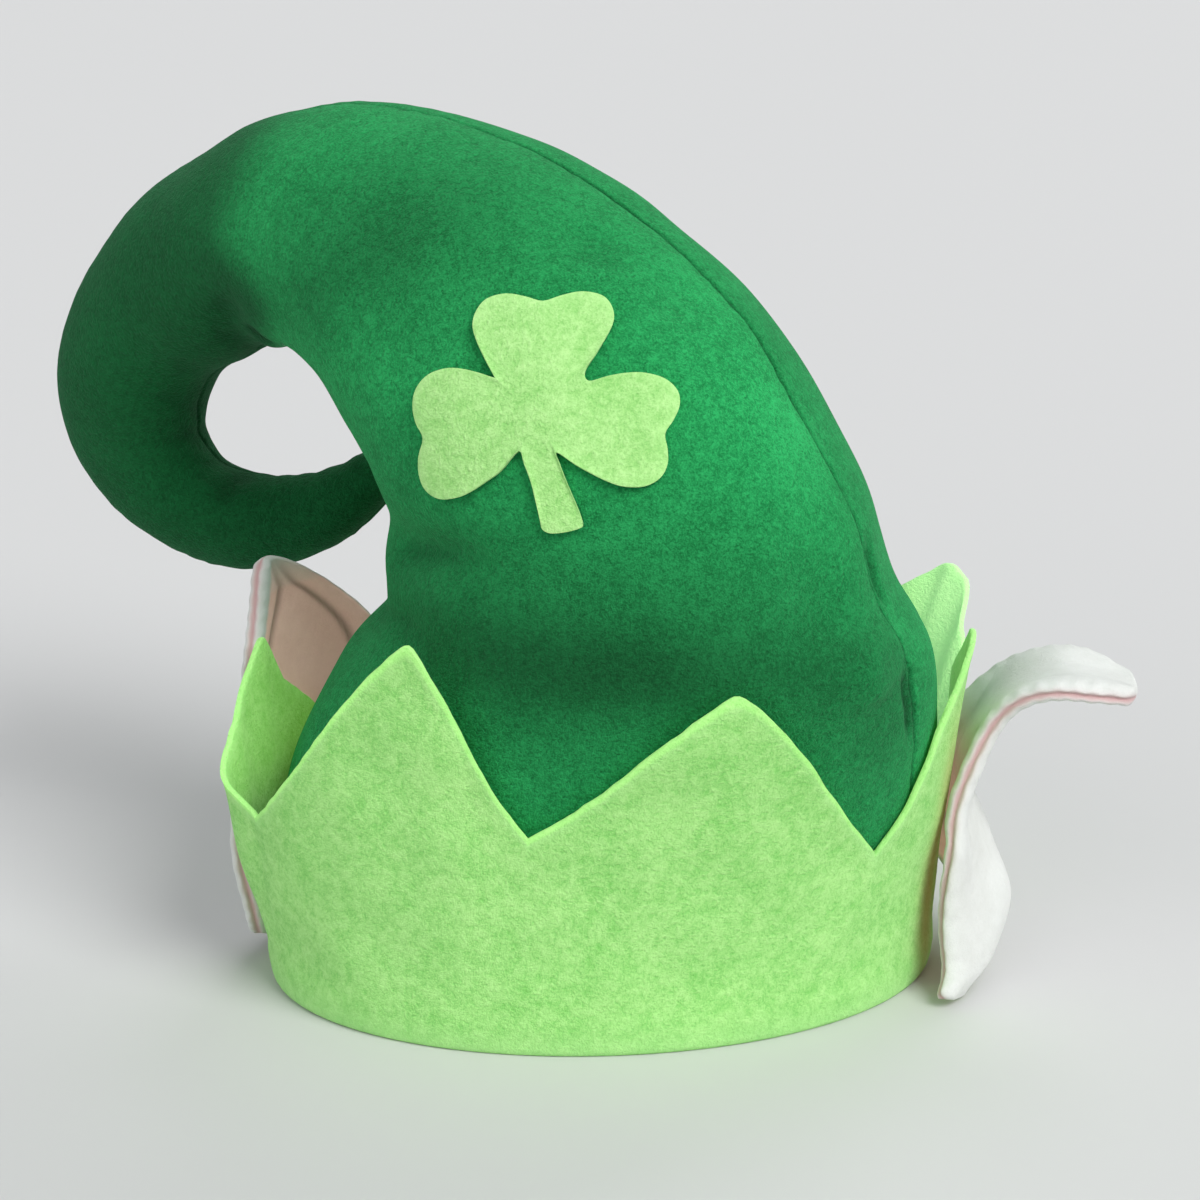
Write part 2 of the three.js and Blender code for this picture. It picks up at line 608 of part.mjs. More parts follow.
// The hat's frame has its origin on the table, under the middle of its box.
const box = new THREE.Box3().setFromObject(hat);
const middle = box.getCenter(new THREE.Vector3());
for (const mesh of hat.children) {
  mesh.geometry.translate(-middle.x, -middle.y, -box.min.z);
}

export default hat;
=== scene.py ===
"""The looks of a leprechaun hat of sewn felt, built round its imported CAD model.

Metres, +Z is up and the front is -Y.
"""

import bpy
import numpy as np
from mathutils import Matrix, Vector


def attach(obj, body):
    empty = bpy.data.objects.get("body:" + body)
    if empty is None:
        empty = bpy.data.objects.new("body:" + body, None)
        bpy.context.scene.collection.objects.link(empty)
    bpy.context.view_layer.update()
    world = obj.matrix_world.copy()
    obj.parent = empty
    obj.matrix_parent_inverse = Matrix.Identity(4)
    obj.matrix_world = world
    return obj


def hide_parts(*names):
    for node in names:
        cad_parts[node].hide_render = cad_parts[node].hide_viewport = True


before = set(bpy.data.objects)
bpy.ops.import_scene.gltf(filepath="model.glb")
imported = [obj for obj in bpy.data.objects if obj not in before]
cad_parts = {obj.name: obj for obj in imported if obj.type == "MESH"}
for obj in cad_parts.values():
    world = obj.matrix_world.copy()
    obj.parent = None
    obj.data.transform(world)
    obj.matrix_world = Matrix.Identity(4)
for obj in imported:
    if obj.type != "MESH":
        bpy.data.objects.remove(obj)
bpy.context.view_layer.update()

# Camera
# It looks slightly down on the hat from its front left. The lens shows a field of a little under 0.4 m
# at the hat, as in the photograph.
MM = 0.001
CAMERA_TURN = np.radians(-7.0)
CAMERA_LIFT = np.radians(17.5)
CAMERA_AWAY = 1.15
FIELD = 0.396
LOOK_AT = Vector((-0.0008, -0.0308, 0.130))

camera_data = bpy.data.cameras.new("camera")
camera_data.sensor_width = 36.0
camera_data.lens = camera_data.sensor_width * CAMERA_AWAY / FIELD
camera = bpy.data.objects.new("camera", camera_data)
bpy.context.scene.collection.objects.link(camera)
towards_camera = Vector(
    (
        np.sin(CAMERA_TURN) * np.cos(CAMERA_LIFT),
        -np.cos(CAMERA_TURN) * np.cos(CAMERA_LIFT),
        np.sin(CAMERA_LIFT),
    )
)
camera.location = LOOK_AT + CAMERA_AWAY * towards_camera
camera.rotation_euler = towards_camera.to_track_quat("Z", "Y").to_euler()
bpy.context.scene.camera = camera

# Light
# Soft studio light: the strongest from above the front right, a weaker one from the left, one from
# behind that rims the crown, and a pale surround. Each light is as even on the floor as on the hat.
LIGHTS = {
    "key": {"from": (0.55, -0.85, 0.95), "strength": 2.5, "softness": 34},
    "fill": {"from": (-1.00, -0.70, 0.50), "strength": 0.7, "softness": 60},
    "rim": {"from": (0.55, 0.90, 0.80), "strength": 0.7, "softness": 30},
}
for name, light in LIGHTS.items():
    lamp = bpy.data.lights.new(name, "SUN")
    lamp.energy = light["strength"]
    lamp.angle = np.radians(light["softness"])
    lamp_object = bpy.data.objects.new(name, lamp)
    lamp_object.rotation_euler = Vector(light["from"]).to_track_quat("Z", "Y").to_euler()
    bpy.context.scene.collection.objects.link(lamp_object)

surround = bpy.data.worlds.new("surround")
surround.use_nodes = True
surround.node_tree.nodes["Background"].inputs["Color"].default_value = (0.93, 0.96, 1.0, 1)
surround.node_tree.nodes["Background"].inputs["Strength"].default_value = 0.40
bpy.context.scene.world = surround
bpy.context.scene.view_settings.view_transform = "Standard"


class Socket:
    """An output of a shader node. Arithmetic on it adds Math nodes to its material."""

    def __init__(self, tree, output):
        self.tree = tree
        self.output = output

    def node(self, kind, settings, inputs, output=0):
        made = self.tree.nodes.new(kind)
        for name, value in settings.items():
            setattr(made, name, value)
        for name, value in inputs.items():
            if isinstance(value, Socket):
                self.tree.links.new(value.output, made.inputs[name])
            else:
                made.inputs[name].default_value = value
        return Socket(self.tree, made.outputs[output])

    def maths(self, operation, first, second):
        return self.node("ShaderNodeMath", {"operation": operation}, {0: first, 1: second})

    def __add__(self, other):
        return self.maths("ADD", self, other)

    def __sub__(self, other):
        return self.maths("SUBTRACT", self, other)

    def __rsub__(self, other):
        return self.maths("SUBTRACT", other, self)

    def __mul__(self, other):
        return self.maths("MULTIPLY", self, other)

    __radd__ = __add__
    __rmul__ = __mul__

    def noise(self, scale, detail=3.0, roughness=0.5, distortion=0.0):
        """Noise at these coordinates, from 0 to 1. scale is in waves to the metre."""
        inputs = {
            "Vector": self,
            "Scale": scale,
            "Detail": detail,
            "Roughness": roughness,
            "Distortion": distortion,
        }
        return self.node("ShaderNodeTexNoise", {"normalize": True}, inputs)

    def between(self, low, high):
        """0 below low, 1 above high, and a soft step between them."""
        settings = {"interpolation_type": "SMOOTHSTEP"}
        inputs = {"Value": self, "From Min": low, "From Max": high}
        return self.node("ShaderNodeMapRange", settings, inputs)

    def mix(self, first, second):
        """The first colour where this is 0, the second where it is 1."""
        made = self.node("ShaderNodeMix", {"data_type": "RGBA"}, {"Factor": self})
        mixer = made.output.node
        for socket, value in zip((mixer.inputs[6], mixer.inputs[7]), (first, second)):
            if isinstance(value, Socket):
                self.tree.links.new(value.output, socket)
            else:
                socket.default_value = value
        return Socket(self.tree, mixer.outputs[2])


def new_felt(name, sheen, sheen_tint):
    """A matt cloth material, with its shader and the coordinates on the piece."""
    material = bpy.data.materials.new(name)
    material.use_nodes = True
    tree = material.node_tree
    shader = tree.nodes["Principled BSDF"]
    shader.inputs["Specular IOR Level"].default_value = 0.12
    shader.inputs["Sheen Weight"].default_value = sheen
    shader.inputs["Sheen Roughness"].default_value = 0.45
    shader.inputs["Sheen Tint"].default_value = sheen_tint
    where = tree.nodes.new("ShaderNodeTexCoord").outputs["Object"]
    return material, shader, Socket(tree, where)


def finish_felt(shader, colour, nap, depth):
    """Joins a colour and the height of the nap to a felt's shader."""
    bump = {"Strength": 1.0, "Distance": depth, "Height": nap}
    colour.tree.links.new(colour.output, shader.inputs["Base Color"])
    relief = nap.node("ShaderNodeBump", {}, bump)
    colour.tree.links.new(relief.output, shader.inputs["Normal"])
    colour.tree.links.new((nap * 0.1 + 0.86).output, shader.inputs["Roughness"])


def painted_glow(shader, colour):
    """Paints a fixed glow into the cloth, as emission, standing in for the faint light that comes through
    thin cloth from behind.
    """
    colour.tree.links.new(colour.output, shader.inputs["Emission Color"])
    shader.inputs["Emission Strength"].default_value = 1.0


def marked(here, name):
    """A mark that the mesh code left on each point of a piece."""
    return here.node("ShaderNodeAttribute", {"attribute_name": name}, {}, output=2)


# Crown
# Two panels of dark green felt, sewn together face to face along their edges and turned, so the seam
# is a groove over the arch. The tube narrows to a tip that curls back behind the crown. The hem is
# held in the band's fold.
FELT = 2 * MM
CLOTH_GAP = 0.5 * MM
SEAM_GAP = 0.3 * MM
RIM_WIDTH = 226 * MM
RIM_DEPTH = 162 * MM
ARCH_HEIGHT = 243 * MM
CURL_REACH = 198 * MM
TAIL_SETBACK = 50 * MM
CROWN_TURN = 33.0
SHOULDER = 220 * MM
ROLL_RADIUS = 4 * MM
CROWN_FOOT = ROLL_RADIUS + SEAM_GAP
HEM_HALF_WIDTH = RIM_WIDTH / 2 - FELT - CLOTH_GAP
HEM_HALF_DEPTH = RIM_DEPTH / 2 - FELT - CLOTH_GAP


def table(columns, rows):
    """A table with named columns."""
    return dict(zip(columns.split(), np.array(rows, float).T))


CROWN_ROWS = table(
    "across up tilt width depth back",
    [
        (0.000, 0.000, 0, 1.000, 1.000, 0.00),
        (0.000, 0.135, 2, 1.000, 1.000, 0.00),
        (0.029, 0.320, 3, 0.975, 0.985, -0.06),
        (0.069, 0.450, 2, 0.895, 0.970, -0.09),
        (0.089, 0.515, 1, 0.822, 0.960, -0.09),
        (0.075, 0.588, -1, 0.766, 0.950, -0.09),
        (0.051, 0.680, 3, 0.720, 0.930, -0.09),
        (-0.014, 0.774, 7, 0.705, 0.890, -0.09),
        (-0.087, 0.854, 12, 0.684, 0.840, -0.06),
        (-0.176, 0.919, 19, 0.634, 0.770, -0.01),
        (-0.291, 0.969, 31, 0.556, 0.700, 0.06),
        (-0.408, 0.994, 47, 0.482, 0.620, 0.12),
        (-0.569, 0.999, 72, 0.408, 0.548, 0.19),
        (-0.689, 0.972, 90, 0.355, 0.494, 0.23),
        (-0.789, 0.925, 106, 0.313, 0.444, 0.27),
        (-0.889, 0.862, 121, 0.282, 0.395, 0.31),
        (-0.954, 0.782, 140, 0.263, 0.355, 0.35),
        (-0.989, 0.694, 162, 0.249, 0.326, 0.39),
        (-0.979, 0.626, 180, 0.234, 0.296, 0.43),
        (-0.942, 0.576, 198, 0.204, 0.267, 0.47),
        (-0.885, 0.542, 220, 0.182, 0.242, 0.51),
        (-0.814, 0.521, 243, 0.167, 0.217, 0.57),
        (-0.739, 0.519, 263, 0.152, 0.197, 0.63),
        (-0.664, 0.537, 279, 0.130, 0.178, 0.69),
        (-0.589, 0.571, 289, 0.105, 0.153, 0.75),
        (-0.514, 0.621, 301, 0.073, 0.109, 0.84),
        (-0.444, 0.671, 311, 0.029, 0.044, 0.91),
    ],
)
CROWN_TIP = len(CROWN_ROWS["up"]) - 1
# Hollows and creases, by row and angle from the outer seam over the front. depth is in millimetres.
CROWN_DENTS = [
    {"row": 4.4, "round": 172, "length": 0.5, "spread": 26, "depth": 5.0},
    {"row": 5.7, "round": 118, "length": 0.45, "spread": 30, "depth": 4.0},
    {"row": 5.3, "round": 22, "length": 0.7, "spread": 9, "depth": 3.0},
    {"row": 12.6, "round": 150, "length": 0.6, "spread": 34, "depth": 3.0},
    {"row": 11.2, "round": 88, "length": 0.8, "spread": 22, "depth": -2.0},
]
# Narrow folds between two places of the skin. width and depth are in millimetres.
CREASES = table(
    "row_1 round_1 row_2 round_2 width depth",
    [
        (6.10, 98, 5.30, 146, 8.0, 2.6),
        (5.85, 108, 5.35, 142, 3.0, 1.0),
        (4.50, 120, 4.10, 156, 4.0, 2.2),
        (3.60, 4, 2.20, 2, 2.6, 2.6),
        (4.20, 17, 2.90, 15, 9.0, -2.2),
        (5.75, 357.5, 4.65, 357, 2.2, 2.4),
        (12.2, 132, 11.0, 158, 4.5, 2.4),
        (12.8, 112, 12.0, 134, 9.0, 1.4),
        (9.60, 18, 9.20, 34, 9.0, 1.6),
        (8.90, 12, 8.40, 28, 8.0, 1.2),
        (15.0, 196, 14.5, 130, 4.0, 1.0),
        (16.3, 196, 15.7, 134, 3.5, 1.2),
        (17.5, 196, 16.9, 140, 3.5, 0.9),
        (21.2, 176, 20.4, 108, 4.0, 1.2),
        (13.4, 190, 12.9, 130, 4.5, 1.1),
        (7.20, 160, 6.50, 140, 10.0, 1.3),
        (5.00, 232, 4.20, 258, 9.0, 2.0),
        (6.80, 300, 6.20, 320, 9.0, 1.6),
        (9.50, 210, 8.90, 236, 9.0, 1.6),
    ],
)
# How strongly the outer seam shows at rows of the crown.
SEAM_SHOWS = table(
    "row shows",
    [
        (0.0, 0.5),
        (2.4, 1.0),
        (3.0, 1.9),
        (3.4, 1.2),
        (3.8, 0.3),
        (4.5, 0.3),
        (4.9, 0.8),
        (5.4, 0.8),
        (5.8, 0.4),
        (6.9, 0.4),
        (7.6, 1.4),
        (9.6, 1.5),
        (11.0, 0.8),
        (26.0, 0.6),
    ],
)
SEAM_SINK = 1.1 * MM
SEAM_HALF = 0.9 * MM
SEAM_VALLEY = 0.8 * MM
SEAM_VALLEY_HALF = 5 * MM
PUCKER = 0.40 * MM
PUCKER_EVERY = 11 * MM
PUCKER_REACH = 6 * MM
PUCKER_DRIFTS = (52 * MM, 32 * MM)
SEAM_EASES = 23 * MM
LUMPS = 0.45 * MM
LUMP_LENGTHS = (80 * MM, 28 * MM)
PANEL_SECTIONS = 320
PANEL_POINTS = 96
SEAM_CROWDING = 0.135
UNDER_BAND = 0.10


def bell(x):
    return np.exp(-(x**2))


def smooth(x):
    x = np.clip(x, 0, 1)
    return x * x * (3 - 2 * x)


def rows_at(rows, place):
    """Rows between the rows of a table, on a curve through all of them."""
    last = len(next(iter(rows.values()))) - 1
    start = np.minimum(np.floor(place), last - 1).astype(int)
    part = place - start
    found = {}
    for name, column in rows.items():
        before, first, second, after = (column[np.clip(start + i, 0, last)] for i in (-1, 0, 1, 2))
        slope_in = (second - before) / 2
        slope_out = (after - first) / 2
        turn = 3 * (second - first) - 2 * slope_in - slope_out
        end = 2 * (first - second) + slope_in + slope_out
        found[name] = first + part * (slope_in + part * (turn + part * end))
    return found


def crown_section(place):
    """The crown's section at places in CROWN_ROWS: its middle, its half axes and its seams' slip."""
    row = rows_at(CROWN_ROWS, place)
    height = CROWN_FOOT + row["up"] * (ARCH_HEIGHT - CROWN_FOOT)
    turned = CROWN_TURN * smooth(height / SHOULDER)
    plane = np.radians(-CROWN_TURN)
    across = row["across"] * CURL_REACH
    back = row["back"] * TAIL_SETBACK
    oval = np.radians(-turned)
    tilt = np.radians(row["tilt"])
    x = np.cos(plane) * across - np.sin(plane) * back
    y = np.sin(plane) * across + np.cos(plane) * back
    flat = np.zeros_like(oval)
    return {
        "middle": np.stack([x, y, height], -1),
        "outer": np.stack([np.cos(oval) * np.cos(tilt), np.sin(oval) * np.cos(tilt), np.sin(tilt)], -1),
        "front": np.stack([np.sin(oval), -np.cos(oval), flat], -1),
        "width": row["width"] * HEM_HALF_WIDTH,
        "depth": row["depth"] * HEM_HALF_DEPTH,
        "slip": CROWN_TURN - turned,
    }


def crown_point(place, round_, inset=0.0):
    """Points of the crown's skin, at angles from the outer seam over the front."""
    section = crown_section(place)
    angle = np.radians(round_ + section["slip"])
    sunk = inset
    for dent in CROWN_DENTS:
        along = bell((place - dent["row"]) / dent["length"])
        around = bell((round_ - dent["round"]) / dent["spread"])
        sunk = sunk + dent["depth"] * MM * along * around
    width = np.maximum(section["width"] - sunk, FELT / 4)
    depth = np.maximum(section["depth"] - sunk, FELT / 4)
    return (
        section["middle"]
        + section["outer"] * (width * np.cos(angle))[..., None]
        + section["front"] * (depth * np.sin(angle))[..., None]
    )


def seam_distance(place, round_):
    """How far points of the skin are from the nearest seam, in metres."""
    section = crown_section(place)
    angle = np.radians(round_ + section["slip"])
    reach = np.hypot(section["width"] * np.sin(angle), section["depth"] * np.cos(angle))
    off = np.minimum(round_ % 180, 180 - round_ % 180)
    return np.radians(off) * reach


def soft_lumps(points, waves, longest, shortest, seed):
    """A gentle unevenness of about one unit, from waves in many directions."""
    chance = np.random.default_rng(seed)
    total = np.zeros(points.shape[:-1])
    for _ in range(waves):
        way = chance.normal(size=3)
        way *= 2 * np.pi / (np.linalg.norm(way) * chance.uniform(shortest, longest))
        total += np.sin(points @ way + chance.uniform(0, 2 * np.pi))
    return total / np.sqrt(waves / 2)


def crown_lumps(place, round_):
    """The gentle unevenness of the crown, which dies out under the band."""
    above_band = smooth((rows_at(CROWN_ROWS, place)["up"] - 2 * UNDER_BAND) / UNDER_BAND)
    return LUMPS * soft_lumps(crown_point(place, round_), 30, *LUMP_LENGTHS, seed=4) * above_band


def creases(place, round_, strength):
    """The creases of the skin, each as strong as its row of strength says and faded at its ends."""
    skin = crown_point(place, round_)
    total = np.zeros(skin.shape[:-1])
    for i in range(len(CREASES["width"])):
        crease = {name: column[i] for name, column in CREASES.items()}
        first = crown_point(np.array(crease["row_1"]), np.array(crease["round_1"]))
        second = crown_point(np.array(crease["row_2"]), np.array(crease["round_2"]))
        line = second - first
        share = (skin - first) @ line / (line @ line)
        off = np.linalg.norm(skin - first - np.clip(share, 0, 1)[..., None] * line, axis=-1)
        ends = smooth(share * 3) * smooth((1 - share) * 3)
        total += strength[i] * bell(off / (crease["width"] * MM)) * ends
    return total


def seam_run(place, round_):
    """How far along the nearer seam points of the skin are, in metres."""
    line = np.array([crown_point(place[:, 0], np.full(len(place), r)) for r in (0.0, 180.0)])
    steps = np.linalg.norm(np.diff(line, axis=1), axis=-1)
    along = np.concatenate([np.zeros((2, 1)), np.cumsum(steps, axis=1)], axis=1)
    inner = (round_ > 90) & (round_ < 270)
    return np.where(inner, along[1][:, None], along[0][:, None])


def seam_pull(place, round_):
    """How strongly the seam shows: it fades where the felt lies smooth over it."""
    run = seam_run(place, round_)
    outer = np.interp(place, SEAM_SHOWS["row"], SEAM_SHOWS["shows"])
    shows = np.where((round_ > 90) & (round_ < 270), SEAM_SHOWS["shows"][-1], outer)
    return shows * (0.8 + 0.2 * np.sin(run / SEAM_EASES))


def sewn_relief(place, round_):
    """How far the skin sinks at the seams and creases, with the puckers that the stitches pull in."""
    seam = seam_distance(place, round_)
    run = seam_run(place, round_)
    pull = seam_pull(place, round_)
    turns = 2 * np.pi * run
    wander = np.sin(turns / PUCKER_DRIFTS[0]) + 0.7 * np.sin(turns / PUCKER_DRIFTS[1])
    gathers = np.sin(turns / PUCKER_EVERY + 1.6 * wander) * (0.6 + 0.4 * np.sin(3.1 * wander))
    groove = pull * SEAM_SINK * bell(seam / SEAM_HALF)
    valley = pull * SEAM_VALLEY * bell(seam / SEAM_VALLEY_HALF)
    gathered = PUCKER * gathers * np.exp(-seam / PUCKER_REACH) * (1 - bell(seam / SEAM_HALF))
    above_band = smooth((rows_at(CROWN_ROWS, place)["up"] - 2 * UNDER_BAND) / UNDER_BAND)
    shaped = valley + gathered + creases(place, round_, CREASES["depth"] * MM)
    return groove + shaped * above_band + crown_lumps(place, round_)


def loft(name, rings, looped=False, corner=40):
    """A closed mesh through rings of points. Ends are closed by pairing the first point with the last."""
    count, points = rings.shape[:2]
    faces = []
    bands = count if looped else count - 1
    here = np.arange(points)
    after = (here + 1) % points
    for i in range(bands):
        low = i * points
        high = ((i + 1) % count) * points
        faces.append(np.stack([low + here, low + after, high + after, high + here], -1))
    if not looped:
        half = np.arange(points // 2 - 1)
        faces.append(np.stack([points - 1 - half, points - 2 - half, half + 1, half], -1))
        last = (count - 1) * points
        faces.append(last + np.stack([half, half + 1, points - 2 - half, points - 1 - half], -1))
    faces = np.concatenate(faces)
    where = rings.reshape(-1, 3)
    corners = where[faces]
    outwards = np.einsum("ij,ij->i", corners[:, 0], np.cross(corners[:, 1], corners[:, 2])).sum()
    if outwards < 0:
        faces = faces[:, ::-1]
    mesh = bpy.data.meshes.new(name)
    mesh.from_pydata(where.tolist(), [], faces.tolist())
    mesh.validate()
    mesh.shade_smooth()
    mesh.set_sharp_from_angle(angle=np.radians(corner))
    piece = bpy.data.objects.new(name, mesh)
    bpy.context.scene.collection.objects.link(piece)
    return piece


def mark(piece, name, values):
    """Leaves a number on each point of a piece for its material to read."""
    made = piece.data.attributes.new(name, "FLOAT", "POINT")
    made.data.foreach_set("value", np.ravel(values).astype(np.float32))


# The frame's origin is under the middle of the hat's box, the tables' under the middle of the rim.
RIM_MIDDLE = np.array([0.736 * MM, -25.886 * MM, 0.0])


# Spots of painted shade on the crown, and of painted light where the amount is below 0, by row and angle.
PAINTED_SHADE_SPOTS = [
    {"row": 4.3, "round": 78, "length": 1.5, "spread": 62, "painted_shade": 0.48},
    {"row": 3.2, "round": 12, "length": 1.3, "spread": 22, "painted_shade": 0.22},
    {"row": 10.6, "round": 72, "length": 0.9, "spread": 45, "painted_shade": 0.30},
    {"row": 7.4, "round": 10, "length": 1.5, "spread": 30, "painted_shade": -0.27},
    {"row": 8.6, "round": 118, "length": 1.0, "spread": 22, "painted_shade": -0.15},
]
# Painted shade: some all over the crown, more on the curl, which turns away from the light, and more in
# the steeper creases.
PAINTED_SHADE_BASE = 0.33
CURL_PAINTED_SHADE = 0.47
CURL_ROWS = (12.5, 11.3)
CREASE_PAINTED_SHADE = 0.38


def painted_shade_at(place, round_):
    """How much shade is painted into the crown's colour, from 0 to 1: most on the curled tip, which turns
    away from the light.
    """
    inwards = smooth((np.minimum(round_, 360 - round_) - 80) / 45)
    curl_starts = CURL_ROWS[0] + (CURL_ROWS[1] - CURL_ROWS[0]) * inwards
    soft = np.where(round_ > 180, 2.6, 1.0)
    painted_shade = PAINTED_SHADE_BASE + CURL_PAINTED_SHADE * smooth((place - curl_starts) / soft + 0.5)
    for spot in PAINTED_SHADE_SPOTS:
        along = bell((place - spot["row"]) / spot["length"])
        around = bell((round_ - spot["round"]) / spot["spread"])
        painted_shade = painted_shade + spot["painted_shade"] * along * around
    steep = CREASES["depth"] / CREASES["width"]
    return np.clip(painted_shade + CREASE_PAINTED_SHADE * creases(place, round_, steep), 0, 1)


def crown_panel(name, start):
    """One panel of the crown, fine enough for its seam and creases."""
    place = np.linspace(0, CROWN_TIP, PANEL_SECTIONS)[:, None]
    even = np.linspace(0, 1, PANEL_POINTS)
    crowded = even - np.sin(2 * np.pi * even) * SEAM_CROWDING
    round_ = start + 180 * crowded[None, :]
    place, round_ = np.broadcast_arrays(place, round_)
    place = np.array(place)
    round_ = np.array(round_)
    section = crown_section(place)
    facing = np.radians(start + 90 + section["slip"])
    away = section["outer"] * np.cos(facing)[..., None] + section["front"] * np.sin(facing)[..., None]
    away *= (SEAM_GAP / 2 / np.linalg.norm(away, axis=-1))[..., None]
    sunk = sewn_relief(place, round_)
    outside = crown_point(place, round_, sunk) + away
    inside = crown_point(place, round_, FELT + sunk) + away
    rings = np.concatenate([outside, inside[:, ::-1]], axis=1) + RIM_MIDDLE
    panel = loft(name, rings)
    # Painted shade along the seam groove, as strong as the seam shows.
    seam = bell(seam_distance(place, round_) / SEAM_HALF) * seam_pull(place, round_)
    mark(panel, "seam", np.concatenate([seam, seam[:, ::-1]], axis=1))
    # Painted shade for the crown's colour.
    painted_shade = painted_shade_at(place, round_)
    mark(panel, "painted_shade", np.concatenate([painted_shade, painted_shade[:, ::-1]], axis=1))
    return panel


crown_felt, crown_shader, here = new_felt("crown_felt", 0.12, (0.35, 1.0, 0.55, 1))
patches = here.noise(34, detail=2) - 0.5
clumps = here.noise(260, detail=2) - 0.5
fibres = here.noise(800, detail=2, roughness=0.6, distortion=0.6) - 0.5
nap = here.noise(1700, detail=2, roughness=0.7) - 0.5
tone = (patches * 0.5 + clumps * 0.6 + fibres * 1.2 + nap * 1.4 + 0.5).between(0.0, 1.0)
green = tone.mix((0.007, 0.235, 0.058, 1), (0.034, 0.540, 0.152, 1))
# Painted shade: darkest on the curl, low on the front and in the creases, lighter on the spots of painted
# light.
green = marked(here, "painted_shade").mix(green, (0.0015, 0.022, 0.006, 1))
# Painted shade along the seam groove.
green = (marked(here, "seam") * 0.6).mix(green, (0.001, 0.030, 0.008, 1))
finish_felt(crown_shader, green, clumps * 0.5 + fibres * 0.8 + nap * 0.4, 1.1 * MM)

for name, start in {"crown_front": 0, "crown_back": 180}.items():
    panel = crown_panel(name + "_felt", start)
    panel.data.materials.append(crown_felt)
    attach(panel, "root")
    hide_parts(name)

# Band
# One strip of light green felt, folded in under the rim and up outside the crown. Its free edge is cut
# into tall teeth that lean away from the crown.
BAND_HEIGHT = 141 * MM
BAND_FLARE = 20 * MM
HEM_GAP = 1.2 * MM
HEM_TURN = 14 * MM
BAND_ROWS = table(
    "turn top bulge flare",
    [
        (-136, 0.47, 0.05, 0.15),
        (-116, 0.66, 0.05, 0.20),
        (-109, 0.80, 0.05, 0.30),
        (-96, 0.66, 0.20, 0.45),
        (-84, 0.545, 0.35, 0.75),
        (-75, 0.47, 0.15, 0.40),
        (-37, 0.99, 0.05, 0.15),
        (-17, 0.54, 0.00, 0.05),
        (14, 0.91, 0.05, 0.15),
        (44, 0.42, 0.00, 0.05),
        (60, 0.66, 0.05, 0.00),
        (75, 0.88, 0.05, 0.38),
        (84, 0.74, 0.05, 0.27),
        (92, 0.52, 0.05, 0.40),
        (99, 0.76, 0.05, 0.75),
        (104, 0.87, 0.05, 1.05),
        (108, 0.91, 0.05, 0.97),
        (116, 0.83, 0.05, 0.55),
        (133, 0.50, 0.05, 0.15),
        (156, 0.90, 0.05, 0.25),
        (179, 0.48, 0.05, 0.10),
        (202, 0.92, 0.05, 0.25),
        (224, 0.47, 0.05, 0.15),
    ],
)
BULGE_AT = 0.6
BULGE_SPREAD = 0.3
FLARE_CURVE = 3
SWELL_STEPS = 6
COLUMN_STEP = 0.75
TIP_ROUNDING = 0.9
FLANK_CURVE = 2.6 * MM
TIP_SHARE = 0.3
WALL_STEPS = 34
BAND_LUMPS = 0.35 * MM
BAND_LUMP_LENGTHS = (70 * MM, 22 * MM)
CUT_WANDER = 0.5 * MM
FOLD_ROLL = 0.7 * MM


def rim_out(turn):
    """The way out from the rim at hat angles, + to the right of the front."""
    angle = np.radians(turn)
    way = np.stack([np.sin(angle) * RIM_DEPTH, -np.cos(angle) * RIM_WIDTH, 0 * turn], -1)
    return way / np.linalg.norm(way, axis=-1)[..., None]


def rim_point(turn, out, height):
    """Points at a distance out from the rim's foot, at a height."""
    angle = np.radians(turn)
    across = np.sin(angle) * RIM_WIDTH / 2
    back = -np.cos(angle) * RIM_DEPTH / 2
    foot = np.stack([across, back, 0 * turn + height], -1)
    return foot + rim_out(turn) * np.asarray(out)[..., None]


def crown_swell(turn, height):
    """How far the crown's skin stands outside its hem, at hat angles and heights."""
    round_ = 90 - turn - CROWN_TURN
    low = np.zeros_like(turn)
    high = np.full_like(turn, 5.0)
    for _ in range(14):
        middle = (low + high) / 2
        below = crown_point(middle, round_)[..., 2] < height
        low = np.where(below, middle, low)
        high = np.where(below, high, middle)
    foot = rim_point(turn, 0 * turn - FELT - CLOTH_GAP, 0)
    return ((crown_point(low, round_) - foot) * rim_out(turn)).sum(-1)


def band_column(turn):
    """The band's top, bulge and flare at hat angles: straight edges, soft changes of bulge."""
    first = BAND_ROWS["turn"][0]
    wrapped = first + (turn - first) % 360
    after = np.searchsorted(BAND_ROWS["turn"], wrapped + 1e-9, side="right")
    before = after - 1
    start = BAND_ROWS["turn"][before]
    part = (wrapped - start) / (BAND_ROWS["turn"][after] - start)
    soft = smooth(part)
    top = BAND_ROWS["top"]
    column = {"top": top[before] + part * (top[after] - top[before])}
    for name in ("bulge", "flare"):
        values = BAND_ROWS[name]
        column[name] = values[before] + soft * (values[after] - values[before])
    return column


def band_out(turn, height):
    """How far the band's outer face stands outside its foot, clear of the crown below each height."""
    column = band_column(turn)
    share = height / (column["top"] * BAND_HEIGHT)
    swell = np.zeros_like(turn)
    for step in range(1, SWELL_STEPS + 1):
        swell = np.maximum(swell, crown_swell(turn, height * step / SWELL_STEPS))
    bulge = column["bulge"] * bell((share - BULGE_AT) / BULGE_SPREAD) * smooth(share * 3)
    return swell + (bulge + column["flare"] * share**FLARE_CURVE) * BAND_FLARE


